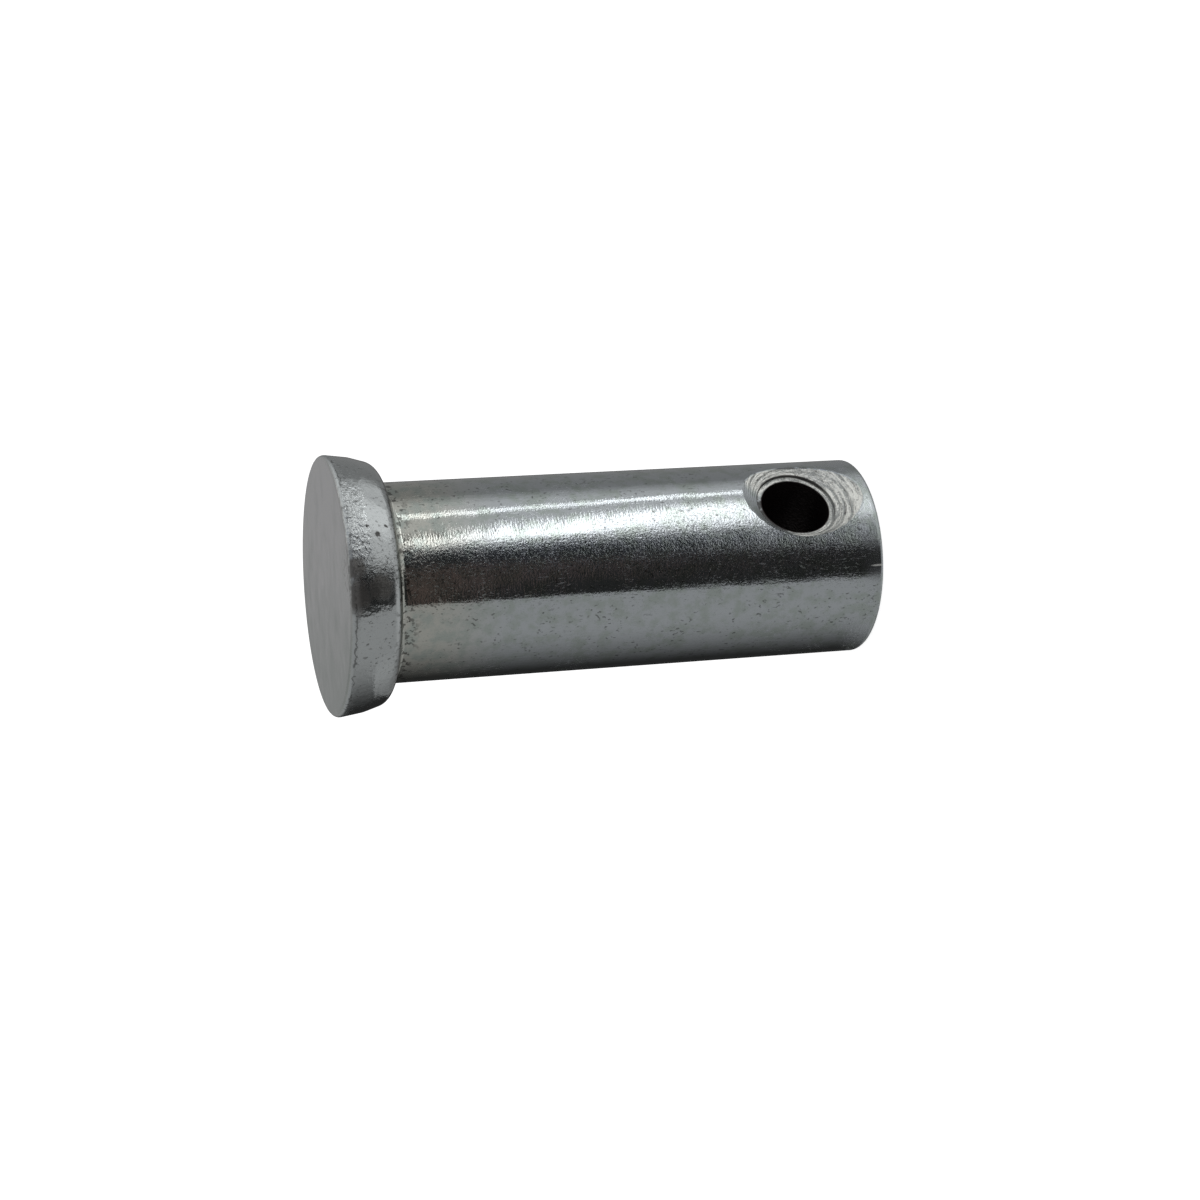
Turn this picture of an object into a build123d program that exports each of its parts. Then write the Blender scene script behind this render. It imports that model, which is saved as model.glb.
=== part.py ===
"""Clevis pin: a plain shank with an upset head and a countersunk cross hole near its free end.

The pin stands on the free end of its shank with its axis on Z, and the centre of that end face is
the origin. The cross hole runs along Y. Lengths are in millimetres and angles in degrees.
"""
from build123d import *
from math import radians, tan
import os

# Shank
SHANK_DIA = 12.0
SHANK_LENGTH = 30.0
SHANK_END_ROUND = 0.3

# Head, which widens by its draft from the seat around the shank to its outer face
HEAD_SEAT_WIDTH = 1.25
HEAD_THICKNESS = 3.25
HEAD_DRAFT = 10.0
HEAD_FACE_ROUND = 0.3
HEAD_BACK_ROUND = 0.9
HEAD_ROOT_FILLET = 0.35

# Share of the head's seat that each of the two rounds beside it may take up
ROOT_SHARE = 0.28
BACK_SHARE = 0.72

# Cross hole for a split pin, with a stepped countersink at both mouths
BORE_DIA = 4.2
BORE_FROM_END = 4.7
LIP_DIA = 4.9
LIP_STEP = 0.15
COUNTERSINK_DIA = 7.4
COUNTERSINK_ANGLE = 110.0
CUTTER_OVERRUN = 1.0

# Sizes that follow from the ones above
shank_radius = SHANK_DIA / 2
overall_length = SHANK_LENGTH + HEAD_THICKNESS
head_back_radius = shank_radius + HEAD_SEAT_WIDTH
head_radius = head_back_radius + HEAD_THICKNESS * tan(radians(HEAD_DRAFT))
root_fillet = min(HEAD_ROOT_FILLET, ROOT_SHARE * HEAD_SEAT_WIDTH)
back_round = min(HEAD_BACK_ROUND, BACK_SHARE * HEAD_SEAT_WIDTH)
cone_slope = tan(radians(COUNTERSINK_ANGLE / 2))
bore_radius = BORE_DIA / 2
lip_radius = LIP_DIA / 2
rim_radius = COUNTERSINK_DIA / 2


def turned_blank():
    """Shank and head as one solid of revolution, with the worn rounds of its four circular edges."""
    end_corner = (shank_radius, 0)
    root_corner = (shank_radius, SHANK_LENGTH)
    back_corner = (head_back_radius, SHANK_LENGTH)
    face_corner = (head_radius, overall_length)
    rounds = [
        (end_corner, SHANK_END_ROUND),
        (root_corner, root_fillet),
        (back_corner, back_round),
        (face_corner, HEAD_FACE_ROUND),
    ]
    with BuildPart() as blank:
        with BuildSketch(Plane.XZ) as half_section:
            with BuildLine():
                Polyline(
                    (0, 0), end_corner, root_corner, back_corner, face_corner, (0, overall_length),
                    close=True,
                )
            make_face()
            for corner, radius in rounds:
                nearest = half_section.vertices().sort_by_distance(Vector(*corner))[0]
                fillet(nearest, radius)
        revolve(axis=Axis.Z)
    return blank.part


def mouth_cutter():
    """What one mouth removes: half the bore, its lip and the cone, from the shank's axis outwards."""
    cone_depth = (rim_radius - lip_radius) / cone_slope
    lip_top = shank_radius - cone_depth
    lip_floor = lip_top - LIP_STEP
    overrun_height = shank_radius + CUTTER_OVERRUN
    overrun_radius = rim_radius + CUTTER_OVERRUN * cone_slope
    with BuildPart() as cutter:
        with BuildSketch(Plane.XZ):
            with BuildLine():
                Polyline(
                    (0, 0), (bore_radius, 0), (bore_radius, lip_floor), (lip_radius, lip_floor),
                    (lip_radius, lip_top), (overrun_radius, overrun_height), (0, overrun_height),
                    close=True,
                )
            make_face()
        revolve(axis=Axis.Z)
    return cutter.part


def cross_hole_cutter():
    """The whole cross hole, laid along Y through the shank at its distance from the free end."""
    front = Rot(X=90) * mouth_cutter()
    back = Rot(X=-90) * mouth_cutter()
    return Pos(Z=BORE_FROM_END) * (front + back)


def clevis_pin():
    """The finished pin."""
    return turned_blank() - cross_hole_cutter()


os.makedirs("parts", exist_ok=True)
export_step(clevis_pin(), "parts/clevis_pin.step")
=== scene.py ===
"""Looks of a bright zinc-plated clevis pin that stands on the free end of its shank.

The pin is turned from a cylinder whose head is drawn out in edit mode, then drilled and countersunk
across. Sizes are in millimetres and the scene is in metres. The pin's axis is Z, and its cross hole
runs along Y.
"""
from math import cos, pi, radians, sin, tan

import bpy
from mathutils import Matrix, Vector


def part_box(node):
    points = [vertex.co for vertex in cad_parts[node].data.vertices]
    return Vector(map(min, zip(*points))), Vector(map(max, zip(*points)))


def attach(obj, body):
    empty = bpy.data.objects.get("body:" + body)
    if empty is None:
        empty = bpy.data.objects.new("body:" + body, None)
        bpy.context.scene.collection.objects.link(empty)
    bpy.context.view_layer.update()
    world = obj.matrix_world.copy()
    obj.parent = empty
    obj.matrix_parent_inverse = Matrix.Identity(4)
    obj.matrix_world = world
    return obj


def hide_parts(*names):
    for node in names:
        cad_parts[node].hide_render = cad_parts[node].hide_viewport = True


MM = 0.001
DEGREES = 180 / pi

# Shank
SHANK_RADIUS = 6.0
SHANK_LENGTH = 30.0
SHANK_END_ROUND = 0.3
SHANK_RINGS = (9, 14, 19, 24)
FLAT_MARGIN = 0.06
PIN_SEGMENTS = 384

# Head: its side widens towards the outer face, in two zones that meet in a soft ridge
HEAD_FACE_RADIUS = 7.823
HEAD_RIDGE_HEIGHT = 1.6
HEAD_BACK_DRAFT = radians(17.0)
HEAD_FACE_DRAFT = radians(8.0)
HEAD_RIDGE_ROUND = 2.0
HEAD_FACE_ROUND = 0.3
HEAD_BACK_ROUND = 0.9
HEAD_ROOT_FILLET = 0.35

# Cross hole and its two countersinks
BORE_RADIUS = 2.1
BORE_HEIGHT = 4.7
LIP_RADIUS = 2.45
LIP_STEP = 0.15
LIP_FALL = 0.05
COUNTERSINK_RADIUS = 3.85
COUNTERSINK_SLOPE = tan(radians(55.0))
COUNTERSINK_LEAN = 0.25
CHATTER_RINGS = 7
CHATTER_DEPTH = 0.03
CHATTER_BACK = 0.3
CUTTER_OVERRUN = 1.0
BORE_SEGMENTS = 128
SHARP_EDGE = radians(24.0)

# Camera of the photograph, which lies on its side: the pin's head is on the left
CAMERA_AZIMUTH = radians(-39.58)
CAMERA_ELEVATION = radians(16.53)
CAMERA_ROLL = radians(-93.69)
CAMERA_DISTANCE = 149.9
CAMERA_AIM = Vector((-1.41, 1.17, 16.38))
CAMERA_LENS = 73.53
CAMERA_SENSOR = 36.0


def choose(piece, kind="FACE"):
    """Makes one piece active with nothing selected in it, ready to select faces or edges in code."""
    bpy.ops.object.select_all(action="DESELECT")
    piece.select_set(True)
    bpy.context.view_layer.objects.active = piece
    bpy.ops.object.mode_set(mode="EDIT")
    bpy.ops.mesh.select_mode(type=kind)
    bpy.ops.mesh.select_all(action="DESELECT")
    bpy.ops.object.mode_set(mode="OBJECT")


def round_circle(pin, radius, height, rounding, corner, steps):
    """Rounds the circular edge of that radius and height, where two walls meet at that angle."""
    choose(pin, "EDGE")
    slack = 0.01 * MM
    on_circle = [
        abs(v.co.z - height * MM) < slack and abs(v.co.xy.length - radius * MM) < slack
        for v in pin.data.vertices
    ]
    for edge in pin.data.edges:
        edge.select = all(on_circle[i] for i in edge.vertices)
    bpy.ops.object.mode_set(mode="EDIT")
    bpy.ops.mesh.bevel(offset=rounding * MM / tan(corner / 2), segments=steps, affect="EDGES")
    bpy.ops.object.mode_set(mode="OBJECT")


def cut_rings(pin, heights):
    """Cuts edge rings round the pin at those heights, so that its straight walls also shade straight."""
    choose(pin)
    bpy.ops.object.mode_set(mode="EDIT")
    for height in heights:
        bpy.ops.mesh.select_all(action="SELECT")
        bpy.ops.mesh.bisect(
            plane_co=(0, 0, height * MM), plane_no=(0, 0, 1), threshold=0.001 * MM,
        )
    bpy.ops.object.mode_set(mode="OBJECT")


def inset_ends(pin):
    """Insets the two flat ends beside their rounds, so that they shade flat."""
    choose(pin)
    for face in pin.data.polygons:
        face.select = abs(face.normal.z) > 0.999 and len(face.vertices) > 8
    bpy.ops.object.mode_set(mode="EDIT")
    bpy.ops.mesh.inset(thickness=FLAT_MARGIN * MM, use_individual=True)
    bpy.ops.object.mode_set(mode="OBJECT")


def grow_top(old_radius, new_radius, rise):
    """Extrudes the chosen top face upwards and brings it to a new radius."""
    growth = new_radius / old_radius
    bpy.ops.mesh.extrude_region_move(TRANSFORM_OT_translate={"value": (0, 0, rise * MM)})
    bpy.ops.transform.resize(value=(growth, growth, 1))


def turned_blank(overall_length):
    """Shank and head in one: the head is drawn out of the top of a cylinder."""
    bpy.ops.object.select_all(action="DESELECT")
    bpy.ops.mesh.primitive_cylinder_add(
        vertices=PIN_SEGMENTS, radius=SHANK_RADIUS * MM, depth=SHANK_LENGTH * MM,
        location=(0, 0, SHANK_LENGTH / 2 * MM), end_fill_type="NGON",
    )
    pin = bpy.context.object
    pin.name = "plated_pin"
    bpy.ops.object.transform_apply(location=True)

    head_thickness = overall_length - SHANK_LENGTH
    above_ridge = head_thickness - HEAD_RIDGE_HEIGHT
    ridge_radius = HEAD_FACE_RADIUS - above_ridge * tan(HEAD_FACE_DRAFT)
    back_radius = ridge_radius - HEAD_RIDGE_HEIGHT * tan(HEAD_BACK_DRAFT)
    choose(pin)
    for face in pin.data.polygons:
        face.select = face.normal.z > 0.9
    bpy.ops.object.mode_set(mode="EDIT")
    grow_top(SHANK_RADIUS, back_radius, 0)
    grow_top(back_radius, ridge_radius, HEAD_RIDGE_HEIGHT)
    grow_top(ridge_radius, HEAD_FACE_RADIUS, above_ridge)
    bpy.ops.object.mode_set(mode="OBJECT")

    square = pi / 2
    ridge_height = SHANK_LENGTH + HEAD_RIDGE_HEIGHT
    ridge_corner = pi - (HEAD_BACK_DRAFT - HEAD_FACE_DRAFT)
    round_circle(pin, SHANK_RADIUS, 0, SHANK_END_ROUND, square, 6)
    round_circle(pin, SHANK_RADIUS, SHANK_LENGTH, HEAD_ROOT_FILLET, square, 6)
    round_circle(pin, back_radius, SHANK_LENGTH, HEAD_BACK_ROUND, square + HEAD_BACK_DRAFT, 10)
    round_circle(pin, ridge_radius, ridge_height, HEAD_RIDGE_ROUND, ridge_corner, 3)
    round_circle(pin, HEAD_FACE_RADIUS, overall_length, HEAD_FACE_ROUND, square - HEAD_FACE_DRAFT, 6)
    lowest = SHANK_END_ROUND + FLAT_MARGIN
    highest = SHANK_LENGTH - HEAD_ROOT_FILLET - FLAT_MARGIN
    cut_rings(pin, [lowest, *SHANK_RINGS, highest])
    inset_ends(pin)
    return pin


def mouth_outline():
    """Radius and reach of one mouth of the cross hole: bore, lip, then a cone cut in small steps."""
    lip_top = SHANK_RADIUS - (COUNTERSINK_RADIUS - LIP_RADIUS) / COUNTERSINK_SLOPE
    lip_floor = lip_top - LIP_STEP
    outline = [(BORE_RADIUS, lip_floor - LIP_FALL), (LIP_RADIUS, lip_floor), (LIP_RADIUS, lip_top)]
    step = (COUNTERSINK_RADIUS - LIP_RADIUS) / CHATTER_RINGS
    for ring in range(CHATTER_RINGS):
        outer = LIP_RADIUS + step * (ring + 1)
        fall_back = CHATTER_BACK * step
        reach = lip_top + (outer - LIP_RADIUS) / COUNTERSINK_SLOPE
        outline.append((outer - fall_back, reach - fall_back / COUNTERSINK_SLOPE - CHATTER_DEPTH))
        outline.append((outer, reach))
    overrun_radius = COUNTERSINK_RADIUS + CUTTER_OVERRUN * COUNTERSINK_SLOPE
    outline.append((overrun_radius, SHANK_RADIUS + CUTTER_OVERRUN))
    return outline


def hole_cutter():
    """The shape that the cross hole takes out, drawn along Y from mouth to mouth.

    The cones lean towards the free end, so their rims sit lower than the bore.
    """
    mouth = mouth_outline()
    outline = [(radius, -reach) for radius, reach in reversed(mouth)] + mouth
    lean = COUNTERSINK_LEAN / (COUNTERSINK_RADIUS - LIP_RADIUS)
    heights = [BORE_HEIGHT - lean * max(radius - LIP_RADIUS, 0) for radius, reach in outline]
    first_radius, first_reach = outline[0]
    bpy.ops.object.select_all(action="DESELECT")
    bpy.ops.mesh.primitive_circle_add(
        vertices=BORE_SEGMENTS, radius=first_radius * MM, fill_type="NGON",
        location=(0, first_reach * MM, heights[0] * MM), rotation=(pi / 2, 0, 0),
    )
    cutter = bpy.context.object
    bpy.ops.object.transform_apply(location=True, rotation=True)
    choose(cutter)
    bpy.ops.object.mode_set(mode="EDIT")
    bpy.ops.mesh.select_all(action="SELECT")
    for i in range(1, len(outline)):
        radius, reach = outline[i - 1]
        next_radius, next_reach = outline[i]
        growth = next_radius / radius
        stride = (0, (next_reach - reach) * MM, (heights[i] - heights[i - 1]) * MM)
        centre = (0, next_reach * MM, heights[i] * MM)
        bpy.ops.mesh.extrude_region_move(TRANSFORM_OT_translate={"value": stride})
        bpy.ops.transform.resize(value=(growth, 1, growth), center_override=centre)
    bpy.ops.mesh.select_all(action="SELECT")
    bpy.ops.mesh.normals_make_consistent(inside=False)
    bpy.ops.object.mode_set(mode="OBJECT")
    return cutter


def drill(pin, cutter):
    """Takes the cutter's shape out of the pin."""
    cut = pin.modifiers.new("cross hole", "BOOLEAN")
    cut.operation = "DIFFERENCE"
    cut.solver = "EXACT"
    cut.object = cutter
    choose(pin)
    bpy.ops.object.modifier_apply(modifier=cut.name)
    bpy.data.objects.remove(cutter)
    bpy.ops.object.shade_smooth_by_angle(angle=SHARP_EDGE)


class Wire:
    """A socket's value in an expression: each operator adds the Math node that it needs."""

    def __init__(self, tree, socket):
        self.tree = tree
        self.socket = socket

    def node(self, kind, settings, sockets, output=0):
        """Adds one node to the same tree: its settings, then the values or links of its sockets."""
        made = self.tree.nodes.new(kind)
        for name, value in settings.items():
            setattr(made, name, value)
        for name, value in sockets.items():
            if isinstance(value, Wire):
                self.tree.links.new(value.socket, made.inputs[name])
            else:
                made.inputs[name].default_value = value
        return Wire(self.tree, made.outputs[output] if made.outputs else None)

    def math(self, operation, *values):
        return self.node("ShaderNodeMath", {"operation": operation}, dict(enumerate(values)))

    def __add__(self, other):
        return self.math("ADD", self, other)

    def __radd__(self, other):
        return self.math("ADD", other, self)

    def __sub__(self, other):
        return self.math("SUBTRACT", self, other)

    def __rsub__(self, other):
        return self.math("SUBTRACT", other, self)

    def __mul__(self, other):
        return self.math("MULTIPLY", self, other)

    def __rmul__(self, other):
        return self.math("MULTIPLY", other, self)

    def __truediv__(self, other):
        return self.math("DIVIDE", self, other)

    def __rtruediv__(self, other):
        return self.math("DIVIDE", other, self)

    def __abs__(self):
        return self.math("ABSOLUTE", self)

    def root(self):
        return self.math("SQRT", self)

    def rise(self, low, high):
        """0 below low, 1 above high, and a smooth climb between."""
        sockets = {"Value": self, "From Min": low, "From Max": high}
        return self.node("ShaderNodeMapRange", {"interpolation_type": "SMOOTHSTEP"}, sockets)

    def fall(self, low, high):
        return 1 - self.rise(low, high)

    def between(self, low, high, soft):
        """1 from low to high, with ends that are soft over that distance on both sides."""
        return self.rise(low - soft, low + soft) * self.fall(high - soft, high + soft)

    def parts(self):
        """The three parts of a place."""
        return [self.node("ShaderNodeSeparateXYZ", {}, {0: self}, output=i) for i in range(3)]

    def stretched(self, x, y, z):
        """A place scaled differently along each axis: a pattern comes out long where this is small."""
        return self.node("ShaderNodeVectorMath", {"operation": "MULTIPLY"}, {0: self, 1: (x, y, z)})

    def distance(self, x, y, z):
        """How far a place is from that spot."""
        settings = {"operation": "DISTANCE"}
        return self.node("ShaderNodeVectorMath", settings, {0: self, 1: (x, y, z)}, output=1)

    def noise(self, scale, detail=2.0, roughness=0.5):
        sockets = {"Vector": self, "Scale": scale, "Detail": detail, "Roughness": roughness}
        return self.node("ShaderNodeTexNoise", {}, sockets)


def blend(factor, first, second):
    """Mixes two colours."""
    settings = {"data_type": "RGBA"}
    return factor.node("ShaderNodeMix", settings, {0: factor, 6: first, 7: second}, output=2)


def blend_values(factor, first, second):
    """Mixes two values."""
    return first * (1 - factor) + second * factor


def tree_of(block):
    """Empties the node tree of a material or world, and gives a wire that starts in it."""
    block.use_nodes = True
    tree = block.node_tree
    tree.nodes.clear()
    return Wire(tree, None)


# Colours of the finishes, and of painted shade, linear
ZINC = (0.585, 0.625, 0.650, 1)
ZINC_YELLOWED = (0.625, 0.632, 0.580, 1)
ZINC_TARNISHED = (0.468, 0.527, 0.492, 1)
ZINC_HEAD = (0.590, 0.622, 0.625, 1)
ZINC_FACE = (0.650, 0.650, 0.656, 1)
# The face's own colour darkened: painted shade across the face
ZINC_FACE_PAINTED_SHADE = (0.425, 0.455, 0.440, 1)
ZINC_MATT = (0.97, 0.98, 0.93, 1)
ZINC_DULL = (0.42, 0.44, 0.43, 1)
# Colour of dark specks and pits, and of painted shade
GRIME_AND_SHADE = (0.050, 0.047, 0.044, 1)
BROWN_GRIME = (0.135, 0.115, 0.098, 1)
# Painted shade: the near-black colour given to the inside of the bore
BORE_PAINTED_SHADE = (0.020, 0.014, 0.014, 1)

# The shank is rough along one side, which lies at an angle about the axis and reaches some degrees
# to either side of it, and further near the free end
ROUGH_SIDE = radians(-121)
ROUGH_REACH = 17
ROUGH_REACH_MORE = 13

# Heights between which the shank's finish changes
ROUGH_WIDENS = (12, 20)
ROUGH_STARTS = (0.6, 2.0)
END_WEARS = (0.5, 2.2)
PLATE_YELLOWS = (23, 28.5)

# A bright nick at the free end: its place, its half width, and its width as a share of its length
END_NICK = (-4.4, -4.07, 0.44)
NICK_WIDTH = 0.065
NICK_SLIMNESS = 0.15

# Heights of the stretch that holds the cross hole, and where its cones are burnished smooth: from
# how far above the bore's axis, and up to how far across
HOLE_STRETCH = (0.45, 9.5)
BURNISHED_ABOVE = (0.5, 1.3)
BURNISHED_ACROSS = (0.8, 1.5)

# Marks on the head: places, each with how far the mark reaches, and stretches of its outer edge
HAMMERED_SPOT = (-1.2, -7.5, 32.9, 2.4)
HEAD_STAINS = [(-5.5, -5.45, 32.8, 0.85), (-4.3, -6.45, 32.9, 0.6), (-5.05, -5.6, 31.45, 0.75)]
HEAD_PITS = [(-2.37, -7.1, 31.33, 0.17), (-1.91, -7.33, 31.88, 0.10), (-1.79, -7.16, 30.74, 0.11)]
TORN_EDGE_X = -4.5
TORN_EDGE_Y = (-4.6, -2.0)
DARK_EDGE_X = -2.9
DARK_EDGE_Y = (-7.3, -4.9)


class Surface:
    """Places, regions and patterns on the pin that the parts of its finish share.

    Places are in millimetres, and each region goes from 0 outside to 1 inside.
    """

    def __init__(self, start, overall_length):
        self.start = start
        place = start.node("ShaderNodeTexCoord", {}, {}, output=3)
        place = start.node("ShaderNodeVectorMath", {"operation": "SCALE"}, {0: place, 3: 1 / MM})
        self.place = place
        self.x, self.y, self.z = place.parts()
        self.face_height = overall_length
        self.above_bore = self.z - BORE_HEIGHT
        self.from_axis = (self.x * self.x + self.y * self.y).root()
        self.from_bore = (self.x * self.x + self.above_bore * self.above_bore).root()
        self.fine = place.noise(8.0, 2.0, 0.6)
        self.coarse = place.noise(3.1, 2.0)
        self.patches = place.noise(0.35, 1.0)
        self.find_regions()
        self.find_rough_side()
        self.find_torn_skin()

    def find_regions(self):
        """The head's face and side, the cross hole with its countersinks, its bore, and the rest."""
        head = self.z.rise(SHANK_LENGTH + 0.05, SHANK_LENGTH + 0.3)
        self.face = self.z.rise(self.face_height - 0.12, self.face_height - 0.02)
        self.side = head - self.face
        inside = self.from_axis.fall(SHANK_RADIUS - 0.07, SHANK_RADIUS - 0.03)
        low, high = HOLE_STRETCH
        self.cut = inside * self.z.rise(low - 0.05, low + 0.05) * self.z.fall(high - 0.5, high + 0.5)
        self.bore = self.cut * self.from_bore.fall(BORE_RADIUS + 0.02, BORE_RADIUS + 0.1)
        self.plain = 1 - self.cut

    def find_rough_side(self):
        """The rough stretch along one side of the shank, wider towards the free end."""
        facing = (self.x * cos(ROUGH_SIDE) + self.y * sin(ROUGH_SIDE)) / self.from_axis
        away = self.start.math("ARCCOSINE", self.start.math("MINIMUM", facing, 1)) * DEGREES
        reach = ROUGH_REACH + self.z.fall(*ROUGH_WIDENS) * ROUGH_REACH_MORE
        self.rough_side = (away / reach).fall(0.35, 1) * self.z.rise(*ROUGH_STARTS)

    def find_torn_skin(self):
        """The torn skin of the cones, with its rings and tears round the bore."""
        burnished = self.above_bore.rise(*BURNISHED_ABOVE) * self.x.fall(*BURNISHED_ACROSS)
        self.torn = self.cut * (1 - burnished)
        self.rings = self.start.math("SINE", self.from_bore * 25 + (self.coarse - 0.5) * 6)
        around = {
            0: self.x / self.from_bore * 1.3, 1: self.above_bore / self.from_bore * 1.3,
            2: self.from_bore * 5,
        }
        self.tears = self.start.node("ShaderNodeCombineXYZ", {}, around).noise(1.0, 3.0, 0.6)

    def spot(self, x, y, z, reach, near, far, raggedness):
        """1 up to near reaches from that place, and 0 past far reaches, with a ragged edge."""
        return (self.place.distance(x, y, z) + raggedness).fall(reach * near, reach * far)


def relief_of(surface):
    """Height of the surface's relief, in millimetres."""
    place, fine, coarse = surface.place, surface.fine, surface.coarse
    rough_side, side = surface.rough_side, surface.side
    speckle = (fine - 0.5) * (0.002 + surface.patches * 0.003 + rough_side * 0.010)
    pocks = (place.stretched(4.4, 4.4, 2.6).noise(1.0, 2.0) - 0.5) * (0.002 + rough_side * 0.003)
    pocks = pocks - fine.rise(0.58, 0.70) * rough_side * 0.004
    grain = (place.stretched(1.9, 1.9, 9.5).noise(1.0) - 0.5) * 0.003
    drawn = (place.stretched(6.0, 6.0, 0.5).noise(1.0) - 0.5) * 0.003
    waves = (place.noise(0.45, 1.0) - 0.5) * 0.02
    ridge_height = SHANK_LENGTH + HEAD_RIDGE_HEIGHT
    hammered = surface.spot(*HAMMERED_SPOT, 0.6, 1.3, 0) * side
    hammered = hammered * surface.z.rise(ridge_height, ridge_height + 0.6)
    dents = hammered * ((fine - 0.5) * 0.03 + (coarse - 0.5) * 0.12) + side * (coarse - 0.5) * 0.014
    tearing = surface.rings * 0.006 + (fine - 0.5) * 0.05 + (surface.tears - 0.5) * 0.16
    plating = (speckle + pocks + grain + drawn) * surface.plain * (1 - surface.face * 0.8)
    return plating + waves + dents + surface.torn * tearing


def dirt_and_shade_of(surface):
    """Dark specks, pits and lines: on the plate, in the countersinks and on the head; some are painted
    shade at the head's root and round the bore's lip.
    """
    place, coarse, x, z = surface.place, surface.coarse, surface.x, surface.z
    soiled = place.noise(0.8).rise(0.42, 0.62)
    scraps = place.stretched(6.0, 6.0, 3.6).noise(1.0, 1.0).rise(0.63, 0.70) * soiled
    pepper = place.stretched(9.0, 9.0, 6.0).noise(1.0, 1.0).rise(0.60, 0.66)
    pepper = pepper * (0.15 + surface.rough_side)
    pits = coarse.rise(0.70, 0.74)
    # Painted shade: a dark line in the crease where the head meets the shank
    junction_shade = z.between(SHANK_LENGTH - 0.02, SHANK_LENGTH + 0.25, 0.12)
    clusters = z.between(SHANK_LENGTH - 0.9, SHANK_LENGTH + 0.4, 0.5) * coarse.rise(0.55, 0.61)
    dirt_and_shade = scraps * 0.6 + pepper * 0.45 + pits * 0.4 + junction_shade * 0.75 + clusters * 0.7
    dirt_and_shade = dirt_and_shade * surface.plain * (1 - surface.face)

    # Painted shade: a dark ring at the lip's step, darker on one side of the bore
    step = surface.from_bore.between(LIP_RADIUS - 0.04, LIP_RADIUS + 0.03, 0.03)
    step = step * (0.45 + x.rise(0.3, 1.6) * 0.5)
    scored = surface.rings.rise(0.55, 0.95) * place.noise(1.6).rise(0.40, 0.60)
    scored = scored * surface.from_bore.rise(LIP_RADIUS + 0.05, LIP_RADIUS + 0.25)
    # Painted shade: the bore's lip is darkened on its side towards the head
    lip_shade = (surface.above_bore * 0.9 - x * 0.4 + coarse * 2).rise(2.2, 3.0)
    lip_shade = lip_shade * surface.from_bore.fall(LIP_RADIUS, LIP_RADIUS + 0.03)
    dirt_and_shade = dirt_and_shade + surface.cut * (step + lip_shade * 0.9)
    dirt_and_shade = dirt_and_shade + surface.torn * (scored * 0.5 + coarse.rise(0.62, 0.70) * 0.45)

    for pit in HEAD_PITS:
        dirt_and_shade = dirt_and_shade + surface.spot(*pit, 0.7, 1.3, (surface.fine - 0.5) * 0.25)
    dirt_and_shade = surface.start.math("MINIMUM", dirt_and_shade, 0.9)
    return surface.start.math("MAXIMUM", dirt_and_shade, edge_line_of(surface))


def edge_line_of(surface):
    """The dark, broken line where the head's side meets the round of its face."""
    start, x, y = surface.start, surface.x, surface.y
    edge_height = surface.face_height - HEAD_FACE_ROUND
    ragged_height = surface.z + (surface.coarse - 0.5) * 0.5
    torn_edge = y.between(*TORN_EDGE_Y, 0.4) * x.fall(TORN_EDGE_X - 0.5, TORN_EDGE_X + 0.5)
    line = ragged_height.between(edge_height - 0.04, edge_height + 0.04, 0.03) * surface.side
    line = line * start.math("MAXIMUM", torn_edge, surface.place.noise(0.9).rise(0.42, 0.54))
    dark_edge = y.between(*DARK_EDGE_Y, 0.4) * x.fall(DARK_EDGE_X - 0.5, DARK_EDGE_X + 0.5)
    dark_edge = dark_edge * ragged_height.between(edge_height, surface.face_height - 0.03, 0.05)
    return start.math("MAXIMUM", line * 0.6, dark_edge * 0.4)


def stain_of(surface):
    """The brown stain on the head's side."""
    stain = surface.side * 0
    for place in HEAD_STAINS:
        blot = surface.spot(*place, 0.6, 1.5, (surface.coarse - 0.5) * 0.9)
        stain = surface.start.math("MAXIMUM", stain, blot)
    return stain * surface.side


def end_nick_of(surface):
    """The short bright nick at the free end, which runs along the pin."""
    x, y, z = END_NICK
    place = surface.place.stretched(1, 1, NICK_SLIMNESS)
    away = place.distance(x, y, z * NICK_SLIMNESS)
    return away.fall(NICK_WIDTH - 0.025, NICK_WIDTH + 0.025)


def face_colour_of(surface):
    """Colour of the head's face: painted shade that darkens it towards the photograph's foot, with a
    soft streaky grain.
    """
    x, y = surface.x, surface.y
    up_face = x * cos(CAMERA_AZIMUTH) + y * sin(CAMERA_AZIMUTH)
    across_face = y * cos(CAMERA_AZIMUTH) - x * sin(CAMERA_AZIMUTH)
    streaks = {0: up_face * 0.3, 1: across_face * 0.8}
    grain = surface.start.node("ShaderNodeCombineXYZ", {}, streaks).noise(1.0, 4.0)
    # Painted shade: the face darkens towards one side, mixed with a streaky grain
    shade = up_face.rise(-8, 5) + (grain + surface.place.noise(0.6, 3.0) - 1) * 1.3
    return blend(shade, ZINC_FACE_PAINTED_SHADE, ZINC_FACE)


def colour_of(surface, dirt_and_shade, stain, nick):
    """Colour of the whole pin."""
    tarnish = surface.place.noise(1.1, 4.0, 0.6).rise(0.42, 0.64)
    mottle = surface.tears * 0.7 + surface.fine * 0.3
    torn_colour = blend(mottle.rise(0.40, 0.58), ZINC_DULL, ZINC_MATT)
    colour = blend(surface.z.rise(*PLATE_YELLOWS), ZINC, ZINC_YELLOWED)
    colour = blend(tarnish * 0.8, colour, ZINC_TARNISHED)
    colour = blend(surface.side, colour, ZINC_HEAD)
    colour = blend(surface.face, colour, face_colour_of(surface))
    colour = blend(stain * 0.7, colour, BROWN_GRIME)
    colour = blend(surface.torn, colour, torn_colour)
    # Dark specks, pits and lines, some of them painted shade, take the dark colour here
    colour = blend(dirt_and_shade, colour, GRIME_AND_SHADE)
    # Painted shade: the bore is coloured near black
    colour = blend(surface.bore, colour, BORE_PAINTED_SHADE)
    return blend(nick * 0.8, colour, ZINC_MATT)


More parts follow.
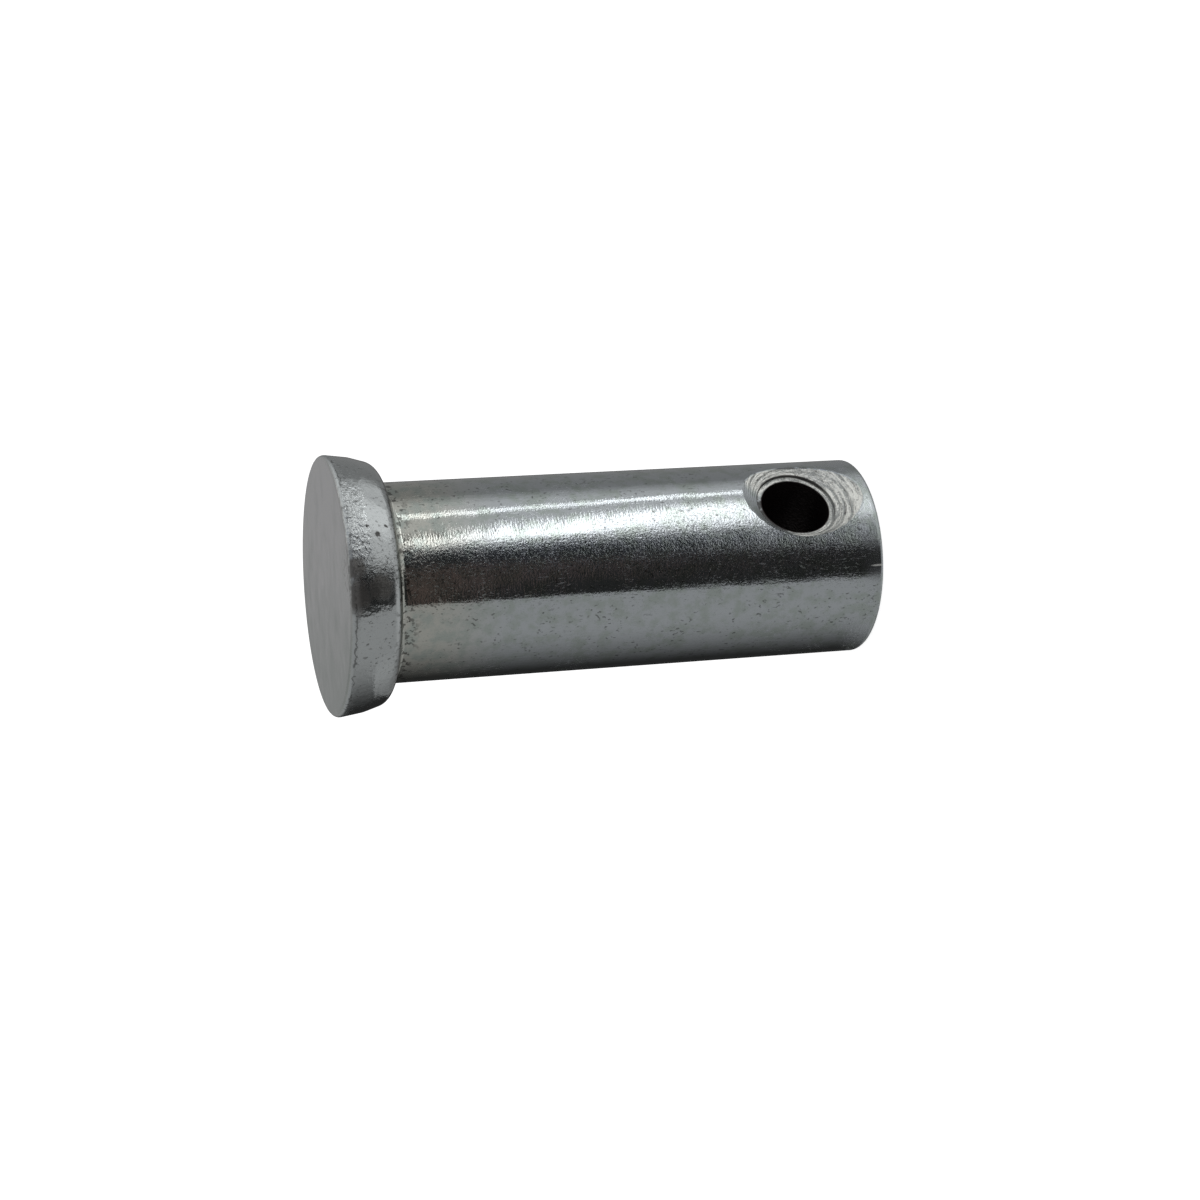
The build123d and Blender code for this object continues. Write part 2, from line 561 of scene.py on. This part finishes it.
def roughness_of(surface, dirt_and_shade, stain, nick):
    """Roughness of the whole pin."""
    flecks = surface.place.stretched(11.0, 11.0, 4.2).noise(1.0, 3.0, 0.6).rise(0.54, 0.66)
    flecks = flecks * surface.patches.rise(0.42, 0.62) * surface.plain * (1 - surface.face)
    worn_rim = surface.side * surface.z.rise(surface.face_height - 0.7, surface.face_height - 0.3)
    worn_end = surface.z.fall(*END_WEARS) * surface.plain
    plate = 0.06 + surface.face * 0.19 + surface.side * 0.05 + flecks * 0.3
    hole = surface.cut * 0.28 + surface.torn * 0.04
    wear = worn_rim * 0.2 + worn_end * 0.16 + nick * 0.3
    return plate + hole + wear + stain * 0.24 + dirt_and_shade * 0.1


def zinc_plate(overall_length):
    """Bright zinc on drawn steel, mottled on the head, matt in the countersinks, and with painted shade
    that makes the bore dark.
    """
    material = bpy.data.materials.new("bright_zinc_plate")
    start = tree_of(material)
    surface = Surface(start, overall_length)
    marks = (dirt_and_shade_of(surface), stain_of(surface), end_nick_of(surface))
    relief = relief_of(surface)
    bump = start.node("ShaderNodeBump", {}, {"Strength": 1.0, "Distance": MM, "Height": relief})
    shader = start.node("ShaderNodeBsdfPrincipled", {}, {
        "Base Color": colour_of(surface, *marks), "Metallic": 1 - surface.torn * 0.2,
        "Roughness": roughness_of(surface, *marks), "Normal": bump,
    })
    start.node("ShaderNodeOutputMaterial", {}, {"Surface": shader})
    return material


# Lights and walls that stand around the pin. Each lies between two edges, a low and a high one, by
# the angle about the pin's axis in degrees from the camera's side. Each edge is soft over some
# degrees, and swings round by some degrees for every degree that it is seen below EYE_LEVEL.
EYE_LEVEL = -17
SOFT_BOX = {"low": 42.4, "high": 64.4, "soft": (6, 12), "swing": (1.3, 3.8)}
STRIP_LAMP = {"low": 83.6, "high": 86.4, "soft": (1, 1), "swing": (1.5, 1.5)}
UPPER_WALL = {"low": 56, "high": 104, "soft": (14, 20), "swing": (0.6, 0.2)}
FAR_WALL = {"low": 104, "high": 168, "soft": (14, 20), "swing": (0, 0)}
SIDE_WALL = {"low": -105, "high": -28.2, "soft": (90, 1.5), "swing": (0, 0)}
MIDDLE_GLOW = {"low": 28, "high": 108, "soft": (9, 20), "swing": (0, 0)}
LOW_BOX = {"low": 12.5, "high": 112, "soft": (9, 24), "swing": (0.15, 0)}
LOW_STRIP = {"low": 52, "high": 86, "soft": (10, 10), "swing": (0, 0)}
LOW_WALL = {"low": -172, "high": -88, "soft": (12, 40), "swing": (0, 0)}

# Each of them with its strength and the heights in degrees between which it hangs
LIGHTS = [
    (SOFT_BOX, 2.1, -21, -2),
    (STRIP_LAMP, 2.0, -21, -2),
    (UPPER_WALL, 0.54, -21, -2),
    (FAR_WALL, 0.21, -90, -2),
    (SIDE_WALL, 0.318, -90, -2),
    (MIDDLE_GLOW, 0.45, -23.5, -21),
    (LOW_BOX, 0.55, -90, -23.5),
    (LOW_STRIP, 0.27, -90, -23.5),
    (LOW_WALL, 0.18, -70, -24),
]
DARK_ROOM = 0.023
FLOOR_GLOW = 0.45
CEILING_GLOW = 0.345
CEILING_LAMP = 0.40
CEILING_LAMP_ANGLES = (45, 125)

# Two stretches of the dark room have a tint of their own, which the shank reflects. The brown one
# also has a slanting edge, which turns by some degrees for every degree of height.
BROWN_TINT = (3.9, 2.95, 2.75, 1)
BROWN_ANGLES = (-28, 14)
BROWN_EDGE_ANGLE = 1
BROWN_EDGE_HEIGHT = -14.7
BROWN_EDGE_SLANT = 10
BLUE_TINT = (1.3, 1.35, 1.55, 1)
BLUE_ANGLES = (6, 34)
WHITE = (1, 1, 1, 1)


def studio_light():
    """A studio whose lights and walls stand around the pin and reach below the table's level.

    The camera sees plain white in its place.
    """
    world = bpy.data.worlds.new("studio_light")
    bpy.context.scene.world = world
    start = tree_of(world)
    look = start.node("ShaderNodeTexCoord", {}, {}, output=0)
    settings = {"rotation_type": "Z_AXIS"}
    turn = pi / 2 - CAMERA_AZIMUTH
    turned = start.node("ShaderNodeVectorRotate", settings, {"Vector": look, "Angle": turn})
    x, y, z = turned.parts()
    angle = start.math("ARCTAN2", y, x) * DEGREES
    height = start.math("ARCSINE", z) * DEGREES
    below_eye = EYE_LEVEL - height

    def light(low, high, soft, swing):
        low_soft, high_soft = soft
        low_swing, high_swing = swing
        from_low = angle - below_eye * low_swing - low
        from_high = angle - below_eye * high_swing - high
        after_low = from_low.rise(-low_soft / 2, low_soft / 2)
        return after_low * from_high.fall(-high_soft / 2, high_soft / 2)

    brightness = DARK_ROOM
    for place, strength, bottom, top in LIGHTS:
        brightness = brightness + light(**place) * height.between(bottom, top, 0.4) * strength
    brightness = blend_values(height.fall(-75, -45), brightness, FLOOR_GLOW)
    ceiling = CEILING_GLOW + angle.between(*CEILING_LAMP_ANGLES, 20) * CEILING_LAMP
    brightness = blend_values(height.rise(-2, 4), brightness, ceiling)

    streaks = start.node("ShaderNodeCombineXYZ", {}, {0: angle * 0.6, 1: height * 0.25}).noise(1.0)
    past_edge = angle - BROWN_EDGE_ANGLE + (height - BROWN_EDGE_HEIGHT) * BROWN_EDGE_SLANT
    brown = past_edge.rise(-3, 3) * angle.between(*BROWN_ANGLES, 0.5) * (0.65 + streaks * 0.7)
    brown = brown * height.rise(-16.4, -15.2) * height.fall(-6, -4)
    blue = angle.between(*BLUE_ANGLES, 6) * (0.4 + streaks * 0.9) * height.rise(-24, -22)
    tint = blend(brown, blend(blue, WHITE, BLUE_TINT), BROWN_TINT)
    seen = start.node("ShaderNodeLightPath", {}, {}, output=0)
    glow = start.node("ShaderNodeBackground", {}, {
        "Color": blend(seen, tint, WHITE), "Strength": blend_values(seen, brightness, 1.0),
    })
    start.node("ShaderNodeOutputWorld", {}, {"Surface": glow})


def white_table():
    """A broad white table top, lit from within so that it stays as pale as the photograph's ground."""
    bpy.ops.object.select_all(action="DESELECT")
    bpy.ops.mesh.primitive_plane_add(size=40)
    table = bpy.context.object
    table.name = "white_table"
    table.visible_glossy = False
    material = bpy.data.materials.new("white_acrylic")
    start = tree_of(material)
    shader = start.node("ShaderNodeBsdfPrincipled", {}, {
        "Base Color": (0.8, 0.8, 0.8, 1), "Roughness": 0.8, "Emission Color": (1, 1, 1, 1),
        "Emission Strength": 0.8,
    })
    start.node("ShaderNodeOutputMaterial", {}, {"Surface": shader})
    table.data.materials.append(material)


def photo_camera():
    """The camera of the photograph."""
    data = bpy.data.cameras.new("photo_camera")
    data.lens = CAMERA_LENS
    data.sensor_width = CAMERA_SENSOR
    data.clip_start = 0.01
    camera = bpy.data.objects.new("photo_camera", data)
    bpy.context.scene.collection.objects.link(camera)
    level = cos(CAMERA_ELEVATION)
    back = Vector((sin(CAMERA_AZIMUTH) * level, -cos(CAMERA_AZIMUTH) * level, sin(CAMERA_ELEVATION)))
    turn = back.to_track_quat("Z", "Y").to_matrix() @ Matrix.Rotation(CAMERA_ROLL, 3, "Z")
    place = (CAMERA_AIM + CAMERA_DISTANCE * back) * MM
    camera.matrix_world = Matrix.Translation(place) @ turn.to_4x4()
    bpy.context.scene.camera = camera


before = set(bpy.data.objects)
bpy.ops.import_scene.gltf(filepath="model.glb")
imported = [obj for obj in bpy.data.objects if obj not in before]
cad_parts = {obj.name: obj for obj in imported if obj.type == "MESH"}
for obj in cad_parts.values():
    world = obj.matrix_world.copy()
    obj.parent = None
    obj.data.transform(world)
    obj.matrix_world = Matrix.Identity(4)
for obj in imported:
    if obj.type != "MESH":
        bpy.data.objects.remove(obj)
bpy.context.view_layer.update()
overall_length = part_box("clevis_pin")[1].z / MM

pin = turned_blank(overall_length)
drill(pin, hole_cutter())
pin.data.materials.append(zinc_plate(overall_length))
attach(pin, "root")
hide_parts("clevis_pin")

white_table()
studio_light()
photo_camera()
bpy.context.scene.view_settings.view_transform = "Standard"
